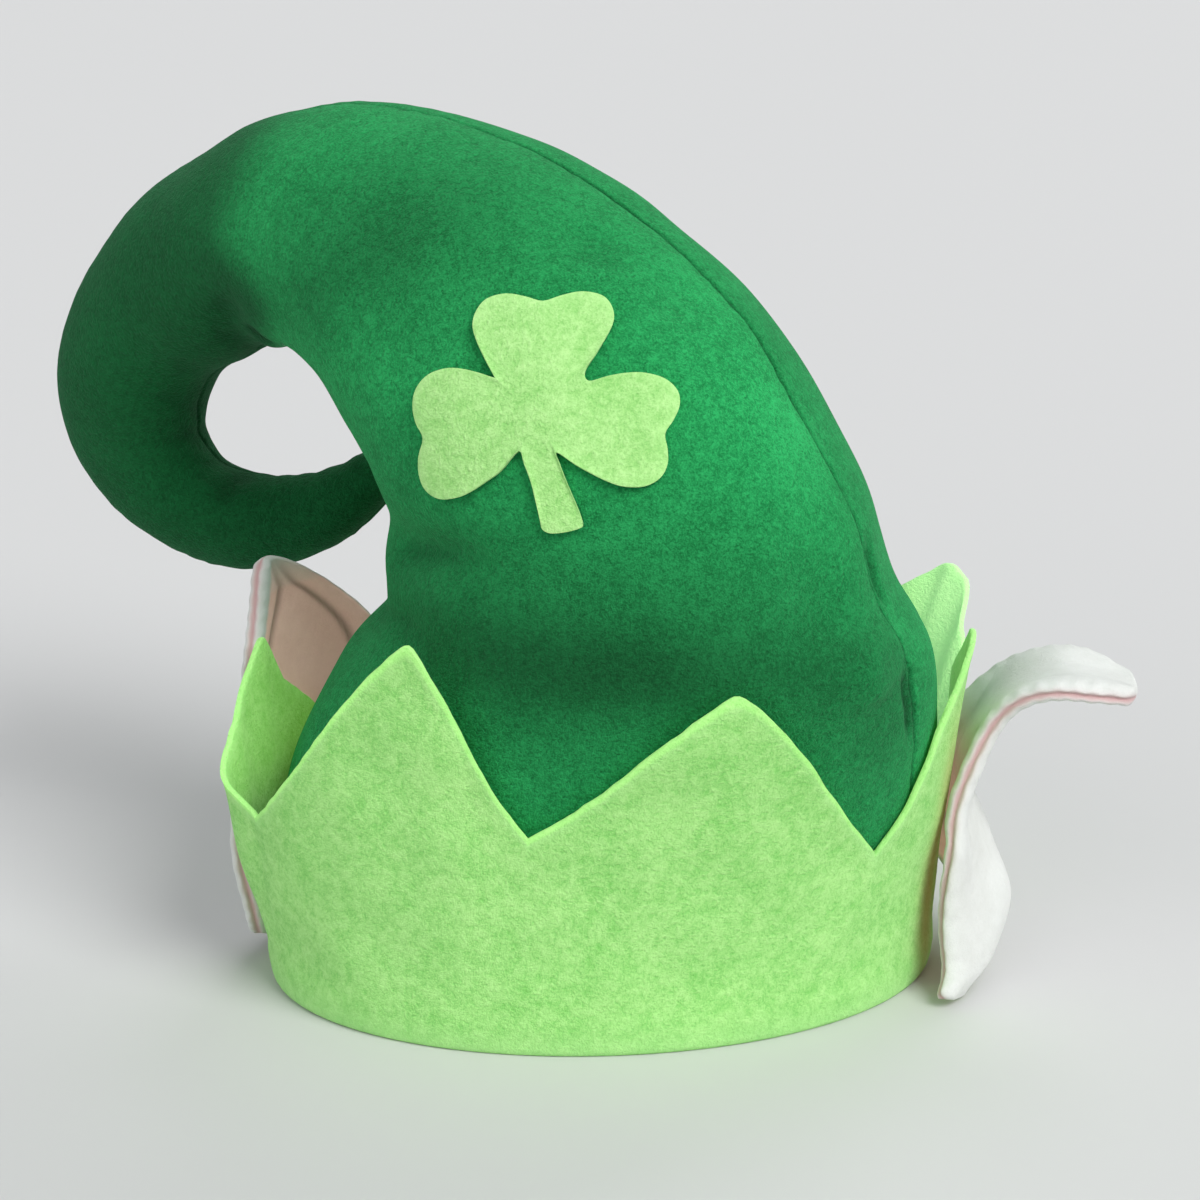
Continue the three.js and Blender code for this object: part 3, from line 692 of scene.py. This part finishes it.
def band_rings():
    """The band's profile at each hat angle, and marks for its cut edge, its fold, its inner face, a
    painted light and the right ear's painted shadow.
    """
    rows = BAND_ROWS["turn"]
    counts = np.ceil(np.diff(rows) / COLUMN_STEP).astype(int)
    gaps = zip(rows[:-1], rows[1:], counts)
    turn = np.concatenate([first + np.arange(n) / n * (last - first) for first, last, n in gaps])
    top = BAND_ROWS["top"]
    tall = band_column(turn)["top"]
    for i in range(1, len(rows) - 1):
        if top[i] > top[i - 1] and top[i] > top[i + 1]:
            slope = (2 * top[i] - top[i - 1] - top[i + 1]) / (rows[i + 1] - rows[i - 1])
            off = np.abs(turn - rows[i])
            tall = tall - slope * (np.hypot(off, TIP_ROUNDING) - off)
    tall = tall * BAND_HEIGHT
    for tip in range(1, len(rows) - 1):
        for valley in (tip - 1, tip + 1):
            part = (turn - rows[tip]) / (rows[valley] - rows[tip])
            long = smooth((top[tip] - top[valley]) / 0.4)
            curved = np.sin(2 * np.pi * np.clip(part, 0, 1) ** 0.77)
            tall = tall + FLANK_CURVE * long * np.where(curved > 0, TIP_SHARE * curved, curved)
    ragged = soft_lumps(rim_point(turn, 0 * turn, 0), 40, 0.020, 0.003, seed=9)
    tall = tall - CUT_WANDER * (1 + 0.5 * ragged)
    share = 1 - (1 - np.linspace(0, 1, WALL_STEPS)) ** 1.25
    height = ROLL_RADIUS + share[None, :] * (tall[:, None] - ROLL_RADIUS)
    turns = np.broadcast_to(turn[:, None], height.shape) + 0.0
    out = band_out(turns, height)
    lumps = soft_lumps(rim_point(turns, out, height), 40, *BAND_LUMP_LENGTHS, seed=2)
    out = out + BAND_LUMPS * (lumps + 0.6) * smooth(height / (30 * MM))
    out = out + FOLD_ROLL * bell((height - 9 * MM) / (4 * MM))
    channel = FELT + CLOTH_GAP + HEM_GAP
    leg = -2 * FELT - channel
    bend = np.linspace(0, np.pi / 2, 6)[1:-1]

    def level(outs, heights):
        outs = np.broadcast_to(np.asarray(outs, float), (len(turn), len(outs)))
        return outs, np.broadcast_to(np.asarray(heights, float), outs.shape)

    flat = 0.55 * ROLL_RADIUS
    inner_bend = level(leg + flat * (1 - np.cos(bend)), ROLL_RADIUS * (1 - np.sin(bend)))
    outer_bend = level(-flat * (1 - np.cos(bend[::-1])), ROLL_RADIUS * (1 - np.sin(bend[::-1])))
    rounding = np.array([0.22, 0.5, 0.78])
    top_out = out[:, -1:] - FELT * rounding[None, :]
    top_height = tall[:, None] + 0.16 * FELT * np.array([1.0, 1.4, 1.0])[None, :]
    pieces = [
        level([leg, leg], [HEM_TURN, ROLL_RADIUS]),
        inner_bend,
        level([leg + flat, -flat], [0, 0]),
        outer_bend,
        (out, height),
        (top_out, top_height),
        ((out - FELT)[:, ::-1], height[:, ::-1]),
        level([-FELT - 0.2 * channel, -FELT - 0.8 * channel], [FELT, FELT]),
        level([-FELT - channel, -FELT - channel], [ROLL_RADIUS, HEM_TURN]),
    ]
    outs = np.concatenate([a for a, _ in pieces], axis=1)
    heights = np.concatenate([b for _, b in pieces], axis=1)
    turns = np.broadcast_to(turn[:, None], outs.shape) + 0.0
    rings = rim_point(turns, outs, heights) + RIM_MIDDLE
    steep = BAND_HEIGHT * 0.55 / np.radians(26) / (RIM_WIDTH / 2)
    from_edge = (tall[:, None] - heights) / np.hypot(1, steep)
    inside = (np.arange(outs.shape[1]) > outs.shape[1] // 2) * smooth((heights - 45 * MM) / (30 * MM))
    marks = {
        "cut_edge": bell(np.maximum(from_edge, 0) / (2.0 * MM)),
        "fold": bell(heights / (7 * MM)),
        "inside": inside,
        # Painted light: the inner face of the teeth at the back right is lightened.
        "painted_light": inside * bell((turns - 104) / 22),
        # Painted shadow of the right ear on the band beside its front edge.
        "painted_ear_shadow": bell((turns - 69) / 5) * smooth((110 * MM - heights) / (40 * MM)),
    }
    return rings, marks


rings, marks = band_rings()
band = loft("band_felt", rings, looped=True, corner=50)
for name, values in marks.items():
    mark(band, name, values)

band_felt, band_shader, here = new_felt("band_felt", 0.15, (0.9, 1.0, 0.8, 1))
clouds = here.noise(45, detail=3) - 0.5
clumps = here.noise(230, detail=3, roughness=0.6, distortion=0.3) - 0.5
fibres = here.noise(800, detail=2, roughness=0.6) - 0.5
nap = here.noise(1700, detail=2, roughness=0.7) - 0.5
tone = (clouds * 0.5 + clumps * 1.1 + fibres * 0.8 + nap * 0.9 + 0.55).between(0.0, 1.0)
lime = tone.mix((0.215, 0.630, 0.130, 1), (0.470, 0.860, 0.290, 1))
# Painted light on the inner face of the back right teeth.
lime = (marked(here, "painted_light") * 0.8).mix(lime, (0.60, 0.96, 0.40, 1))
# Painted shadow of the right ear on the band, brownish yellow.
lime = (marked(here, "painted_ear_shadow") * 0.55).mix(lime, (0.52, 0.44, 0.13, 1))
edges = marked(here, "cut_edge") * 0.5 + marked(here, "fold") * 0.5
lime = edges.mix(lime, (0.50, 0.95, 0.34, 1))
finish_felt(band_shader, lime, clumps * 0.4 + fibres * 0.6 + nap * 0.5, 0.9 * MM)
# Painted glow from the band's inner face, standing in for light through thin felt, brightest on the
# painted light of the back right teeth.
glow = marked(here, "inside").mix((0, 0, 0, 1), (0.060, 0.150, 0.012, 1))
painted_glow(band_shader, marked(here, "painted_light").mix(glow, (0.16, 0.32, 0.15, 1)))
band.data.materials.append(band_felt)
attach(band, "root")
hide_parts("band")

# Ears
# Each is two layers of brushed cloth, sewn together round the edge, turned and stitched again inside
# it, so the rim is a puffy roll. The front edge is sewn to the band. The tips lie outwards.
EAR_LENGTH = 165 * MM
EAR_WIDTH = 78 * MM
EAR_RIM = 7 * MM
EAR_MIDDLE = 4.4 * MM
EAR_RIM_WIDTH = 11 * MM
EAR_SEAT = 52 * MM
EAR_ROWS = {
    "ear_left": table(
        "turn rise out width cup",
        [
            (-109, 0.035, 0.065, 0.28, 0.00),
            (-110, 0.100, 0.060, 0.56, 0.00),
            (-113, 0.220, 0.060, 0.76, 0.00),
            (-119, 0.360, 0.060, 0.84, 0.00),
            (-124, 0.490, 0.080, 0.88, 0.00),
            (-127, 0.600, 0.120, 0.73, 0.00),
            (-126, 0.700, 0.150, 0.45, 0.00),
            (-121, 0.800, 0.170, 0.12, 0.00),
        ],
    ),
    "ear_right": table(
        "turn rise out width cup",
        [
            (58, 0.020, 0.20, 0.16, 0.02),
            (72, 0.070, 0.17, 0.50, 0.10),
            (83, 0.150, 0.14, 0.84, 0.17),
            (86, 0.250, 0.12, 0.88, 0.09),
            (86, 0.360, 0.09, 0.76, 0.00),
            (85, 0.460, 0.13, 0.62, 0.00),
            (84, 0.545, 0.22, 0.48, 0.00),
            (83, 0.600, 0.34, 0.42, 0.00),
            (82, 0.625, 0.49, 0.36, 0.00),
            (82, 0.617, 0.65, 0.30, 0.00),
            (81, 0.597, 0.81, 0.16, 0.00),
        ],
    ),
}
EAR_SECTIONS = 170
EAR_POINTS = 56
END_ROUNDING = 0.45
STITCH_SINK = 0.9 * MM
STITCH_HALF = 1.6 * MM
EDGE_CREASE = 0.9 * MM
EDGE_CREASE_HALF = 0.28
JOIN_HALF = 0.40
RIM_PUCKER = 0.22 * MM
RIM_PUCKER_EVERY = 8 * MM
# How far up each ear, as a share of its length, the brown-pink lining colour reaches on the side turned to
# the band. It is partly the cloth's own pink and partly painted shade: the shaded left ear has it to the
# tip, the lit right ear only low down.
LINING_AND_SHADE_TOP = {"ear_left": 1.0, "ear_right": 0.34}


def ear_point(row, across):
    """Points on the middle surface of an ear, across its breadth from front to rear."""
    turn = row["turn"]
    degree = rim_point(turn + 0.5, 0 * turn, 0) - rim_point(turn - 0.5, 0 * turn, 0)
    around = turn + np.sign(turn) * across / np.linalg.norm(degree, axis=-1)
    height = row["rise"] * EAR_LENGTH
    cup = row["cup"] * (1 - (across / (row["width"] * EAR_WIDTH / 2)) ** 2)
    face = band_out(around, np.minimum(height, EAR_SEAT))
    return rim_point(around, face + (row["out"] + cup) * EAR_WIDTH, height)


def ear(name, rows):
    """One ear, with marks for its joined edge, its stitched line and the lining colour, partly painted
    shade, on the side turned to the band.
    """
    last = len(rows["turn"]) - 1
    place = np.linspace(0, last, EAR_SECTIONS)[:, None]
    ends = np.minimum(place, last - place) / END_ROUNDING
    taper = np.sqrt(1 - (1 - np.clip(ends, 0.004, 1)) ** 2)
    side = np.sin(np.linspace(-np.pi / 2, np.pi / 2, EAR_POINTS))[None, :]
    place = place + 0 * side
    row = rows_at(rows, place)
    half = row["width"] * EAR_WIDTH / 2 * taper
    from_edge = half * (1 - np.abs(side))
    full = np.minimum(EAR_RIM / 2, half * 0.6)
    rim = np.minimum(EAR_RIM_WIDTH, half * 0.8)
    thin = np.minimum(EAR_MIDDLE / 2, full)
    roll = full * np.sqrt(1 - (1 - np.clip(from_edge / full, 0, 1)) ** 2)
    inwards = smooth((from_edge - 0.4 * rim) / (0.6 * rim))
    thick = roll + inwards * (thin - full)
    along = np.cumsum(np.full(place.shape, EAR_LENGTH / EAR_SECTIONS), axis=0)
    gathers = np.sin(2 * np.pi * along / RIM_PUCKER_EVERY + 2 * np.sin(along / (23 * MM)))
    wide = smooth((half - rim) / (4 * MM))
    lined_and_shaded = wide * (1 - smooth((row["rise"] - LINING_AND_SHADE_TOP[name.removesuffix("_cloth")]) / 0.2))
    stitch = bell((from_edge - rim) / STITCH_HALF) * lined_and_shaded
    joined = bell(roll / full / EDGE_CREASE_HALF)
    pleats = RIM_PUCKER * gathers * bell(from_edge / (4 * MM)) * (1 - joined)
    outer = np.maximum(thick + pleats, 0.15 * MM)
    inner = np.maximum(thick + pleats - STITCH_SINK * stitch, 0.15 * MM)
    across = side * half - np.sign(side) * EDGE_CREASE * joined * np.minimum(half / (6 * MM), 1)
    middle = ear_point(row, across)
    rise = ear_point(rows_at(rows, np.minimum(place + 0.1, last)), across)
    rise = rise - ear_point(rows_at(rows, np.maximum(place - 0.1, 0)), across)
    breadth = ear_point(row, across + MM) - ear_point(row, across - MM)
    facing = np.cross(breadth, rise)
    facing /= np.linalg.norm(facing, axis=-1)[..., None]
    if (facing * rim_out(row["turn"])).sum(-1)[EAR_SECTIONS // 3, EAR_POINTS // 2] < 0:
        facing = -facing
    uneven = soft_lumps(middle, 24, 0.060, 0.025, seed=11) * smooth(half / (20 * MM))
    middle = middle + 0.5 * MM * uneven[..., None] * facing
    away = middle + facing * outer[..., None]
    to_band = middle - facing * inner[..., None]
    rings = np.concatenate([away, to_band[:, ::-1]], axis=1) + RIM_MIDDLE
    piece = loft(name, rings, corner=60)
    starts = np.where(side < 0, 3 * MM, 0.2 * MM)
    # The lining colour, partly painted shade, starts a little in from the front edge.
    lining_and_shade = smooth((from_edge - starts) / (2 * MM)) * lined_and_shaded
    mark(piece, "lining_and_shade", np.concatenate([0 * lining_and_shade, lining_and_shade[:, ::-1]], axis=1))
    mark(piece, "stitch", np.concatenate([0 * stitch, stitch[:, ::-1]], axis=1))
    join = bell(roll / full / JOIN_HALF)
    mark(piece, "joined", np.concatenate([join, join[:, ::-1]], axis=1))
    return piece


ear_felt, ear_shader, here = new_felt("ear_felt", 0.15, (1, 1, 1, 1))
soft = here.noise(45, detail=3).between(0.3, 0.7)
clumps = here.noise(260, detail=3, roughness=0.6)
nap = here.noise(1200, detail=3, roughness=0.7, distortion=1.0)
mixed = soft * 0.35 + clumps * 0.4 + nap * 0.4
white = mixed.mix((0.60, 0.61, 0.57, 1), (0.80, 0.82, 0.79, 1))
# The brown-pink of the lining side: partly the cloth's own pink, partly painted shade.
pink_and_shade = mixed.mix((0.52, 0.36, 0.29, 1), (0.80, 0.62, 0.54, 1))
cloth = marked(here, "lining_and_shade").mix(white, pink_and_shade)
# Painted shade in the stitched groove inside the rim.
cloth = (marked(here, "stitch") * 0.6).mix(cloth, (0.30, 0.17, 0.14, 1))
cloth = (marked(here, "joined") * 0.8).mix(cloth, (0.55, 0.29, 0.29, 1))
finish_felt(ear_shader, cloth, nap * 0.5 + clumps * 0.5, 0.5 * MM)
# Painted glow on the lining side, standing in for light through thin cloth, and none on the stitched line.
glow = marked(here, "lining_and_shade").mix((0, 0, 0, 1), (0.21, 0.115, 0.095, 1))
painted_glow(ear_shader, (marked(here, "stitch") * 0.7).mix(glow, (0, 0, 0, 1)))

for name, rows in EAR_ROWS.items():
    piece = ear(name + "_cloth", rows)
    piece.data.materials.append(ear_felt)
    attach(piece, "root")
    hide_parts(name)

# Shamrock
# One cut layer of light green felt, sewn flat on the crown's front. It bends with the crown, and its
# cut edges lift a little.
SHAMROCK_REACH = 41.5 * MM
SHAMROCK_FELT = 1.6 * MM
SHAMROCK_LIFT = 0.6 * MM
EDGE_LIFT = 1.2 * MM
SHAMROCK_ROW = 7.7
SHAMROCK_ROUND = 71.5
SHAMROCK_TILT = np.radians(2)
TOP_LEAF = [(45, 0.47), (41, 0.62), (38, 0.77), (35, 0.89), (30, 0.97), (24, 1.01), (16, 0.99), (8, 0.93)]
SIDE_LEAF = [(47, 0.46), (42, 0.59), (38, 0.72), (34, 0.83), (28, 0.94), (21, 1.00), (14, 1.00), (7, 0.96)]
LEAVES = [
    {"edge": TOP_LEAF, "axis": -4, "spread": 1.00, "reach": 1.01, "notch": 0.89},
    {"edge": SIDE_LEAF, "axis": 94, "spread": 0.93, "reach": 0.98, "notch": 0.90},
    {"edge": SIDE_LEAF, "axis": 262, "spread": 1.02, "reach": 1.00, "notch": 0.90},
]
STALK_EDGE = [
    (147, 0.29),
    (150.5, 0.37),
    (152.5, 0.57),
    (153, 0.73),
    (154, 0.84),
    (156.5, 0.86),
    (164, 0.85),
    (171, 0.835),
    (175, 0.80),
    (176, 0.74),
    (178.5, 0.60),
    (183, 0.46),
    (194, 0.335),
    (208, 0.27),
]
SHAMROCK_RINGS = 26
EDGE_STEPS = 4


def shamrock_outline():
    """The outline as points across and up from its middle, clockwise, with soft corners."""
    leaves = []
    for leaf in LEAVES:
        offs, reaches = np.array(leaf["edge"]).T * [[leaf["spread"]], [leaf["reach"]]]
        near = np.stack([leaf["axis"] - offs, reaches], -1)
        far_side = np.stack([leaf["axis"] + offs, reaches], -1)[::-1]
        leaves.append([*near, (leaf["axis"], leaf["notch"]), *far_side])
    edge = np.array([*leaves[0], *leaves[1], *STALK_EDGE, *leaves[2]], float)
    angle = np.radians(edge[:, 0])
    corners = np.stack([np.sin(angle), np.cos(angle)], -1) * edge[:, 1:] * SHAMROCK_REACH
    before, after, later = (np.roll(corners, -i, axis=0) for i in (-1, 1, 2))
    points = []
    for part in np.arange(EDGE_STEPS) / EDGE_STEPS:
        slope_in = (after - before) / 2
        slope_out = (later - corners) / 2
        turn = 3 * (after - corners) - 2 * slope_in - slope_out
        end = 2 * (corners - after) + slope_in + slope_out
        points.append(corners + part * (slope_in + part * (turn + part * end)))
    return np.stack(points, 1).reshape(-1, 2)


def skin_normal(place, round_):
    """The way out of the crown at points of its skin."""
    skin = crown_point(place, round_)
    along = crown_point(place + 0.05, round_) - skin
    around = crown_point(place, round_ + 1) - skin
    normal = np.cross(around, along)
    normal /= np.linalg.norm(normal, axis=-1)[..., None]
    out = ((skin - crown_section(place)["middle"]) * normal).sum(-1)
    return normal * np.sign(out)[..., None]


def on_crown(across, up):
    """The places on the crown's skin that lie straight behind points of the flat shamrock."""
    row = np.array(SHAMROCK_ROW)
    angle = np.array(SHAMROCK_ROUND)
    centre = crown_point(row, angle)
    facing = skin_normal(row, angle)
    level = np.array([-facing[1], facing[0], 0])
    level /= np.linalg.norm(level)
    right = level * np.cos(SHAMROCK_TILT) + np.cross(facing, level) * np.sin(SHAMROCK_TILT)
    above = np.cross(facing, right)
    wanted = centre + across[..., None] * right + up[..., None] * above
    place = np.full(across.shape, SHAMROCK_ROW)
    round_ = np.full(across.shape, SHAMROCK_ROUND)

    def miss(place, round_):
        off = crown_point(place, round_) - wanted
        return np.stack([off @ right, off @ above], -1)

    for _ in range(15):
        here_off = miss(place, round_)
        by_place = (miss(place + 0.01, round_) - here_off) / 0.01
        by_round = (miss(place, round_ + 0.1) - here_off) / 0.1
        det = by_place[..., 0] * by_round[..., 1] - by_place[..., 1] * by_round[..., 0]
        place = place - (here_off[..., 0] * by_round[..., 1] - here_off[..., 1] * by_round[..., 0]) / det
        round_ = round_ - (by_place[..., 0] * here_off[..., 1] - by_place[..., 1] * here_off[..., 0]) / det
    return place, round_


def shamrock():
    """The shamrock as a closed mesh, with a ring of points for each step out to its edge and back."""
    outline = shamrock_outline()
    share = np.linspace(0.004, 1, SHAMROCK_RINGS) ** 0.85
    flat = share[:, None, None] * outline[None, :, :]
    place, round_ = on_crown(flat[..., 0], flat[..., 1])
    skin = crown_point(place, round_, crown_lumps(place, round_))
    normal = skin_normal(place, round_)
    lifted = SHAMROCK_LIFT + EDGE_LIFT * share**6
    thick = SHAMROCK_FELT * (1 - 0.35 * share**40)
    under = skin + normal * lifted[:, None, None]
    over = skin + normal * (lifted + thick)[:, None, None]
    rings = np.concatenate([under, over[::-1]]) + RIM_MIDDLE
    piece = loft("shamrock_felt", rings, corner=50)
    cut_edge = np.concatenate([share, share[::-1]])[:, None] ** 14
    mark(piece, "cut_edge", cut_edge + np.zeros((1, len(outline))))
    return piece


shamrock_felt, shamrock_shader, here = new_felt("shamrock_felt", 0.15, (0.9, 1.0, 0.8, 1))
clouds = here.noise(70, detail=2) - 0.5
clumps = here.noise(260, detail=3, roughness=0.6, distortion=0.3) - 0.5
fibres = here.noise(800, detail=2, roughness=0.6) - 0.5
nap = here.noise(1700, detail=2, roughness=0.7) - 0.5
tone = (clouds * 0.4 + clumps * 1.0 + fibres * 0.8 + nap * 0.9 + 0.5).between(0.0, 1.0)
lime = tone.mix((0.250, 0.610, 0.150, 1), (0.500, 0.850, 0.320, 1))
lime = (marked(here, "cut_edge") * 0.35).mix(lime, (0.55, 0.93, 0.36, 1))
finish_felt(shamrock_shader, lime, clumps * 0.5 + fibres * 0.7 + nap * 0.4, 0.9 * MM)
shamrock_piece = shamrock()
shamrock_piece.data.materials.append(shamrock_felt)
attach(shamrock_piece, "root")
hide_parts("shamrock")

# Floor
# A plain pale studio floor, wide enough to fill the view behind the hat from every side.
FLOOR_SIDE = 60.0
floor_mesh = bpy.data.meshes.new("floor")
half_side = FLOOR_SIDE / 2
floor_corners = [(x * half_side, y * half_side, 0) for x, y in ((-1, -1), (1, -1), (1, 1), (-1, 1))]
floor_mesh.from_pydata(floor_corners, [], [(0, 1, 2, 3)])
floor = bpy.data.objects.new("floor", floor_mesh)
bpy.context.scene.collection.objects.link(floor)
floor_paint = bpy.data.materials.new("floor_paint")
floor_paint.use_nodes = True
floor_shader = floor_paint.node_tree.nodes["Principled BSDF"]
floor_shader.inputs["Base Color"].default_value = (0.62, 0.62, 0.615, 1)
floor_shader.inputs["Roughness"].default_value = 0.8
floor_mesh.materials.append(floor_paint)
